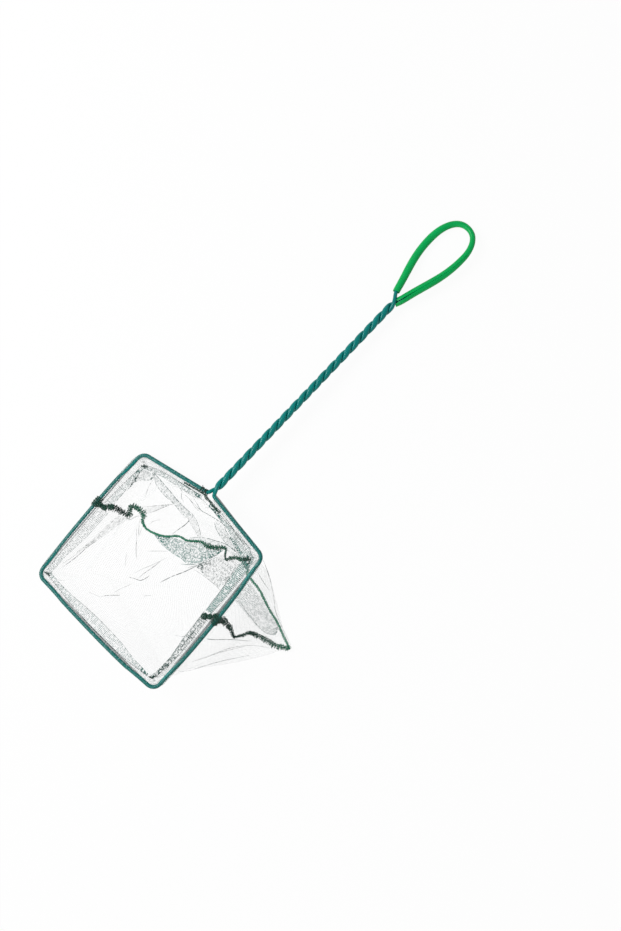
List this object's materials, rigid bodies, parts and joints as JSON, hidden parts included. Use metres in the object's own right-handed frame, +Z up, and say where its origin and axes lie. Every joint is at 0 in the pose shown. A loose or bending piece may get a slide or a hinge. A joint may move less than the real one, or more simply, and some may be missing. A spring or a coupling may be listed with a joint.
{
  "type": "aquarium net",
  "caption": "Hand net for an aquarium: square wire hoop, twisted wire handle, sleeved grip loop and a sewn netting bag, lying as put down on a table.",
  "frame": {"origin": "on the table, under the middle of the net's outline", "axes": "+X along the handle to the grip loop, +Y to the side of the hoop that touches the table, +Z up from the table"},
  "size_m": [0.433, 0.1928, 0.0384],
  "materials": {
    "steel_core": "drawn wire",
    "teal_coating": "glossy extruded PVC",
    "green_sleeve": "glossy extruded PVC",
    "netting": "fine open nylon mesh",
    "seam_thread": "overlocked thread",
    "bottom_thread": "overlocked thread",
    "dark_thread": "sewing thread"
  },
  "bodies": {
    "root": {"wire_core": "steel_core", "wire_coating": "teal_coating", "grip_sleeve": "green_sleeve", "handle_side_panel": "netting", "far_side_panel": "netting", "hem_stitching": "dark_thread", "left_side_seam": "seam_thread", "right_side_seam": "seam_thread", "bottom_seam": "bottom_thread", "neck_tacking": "dark_thread"}
  },
  "joints": []
}
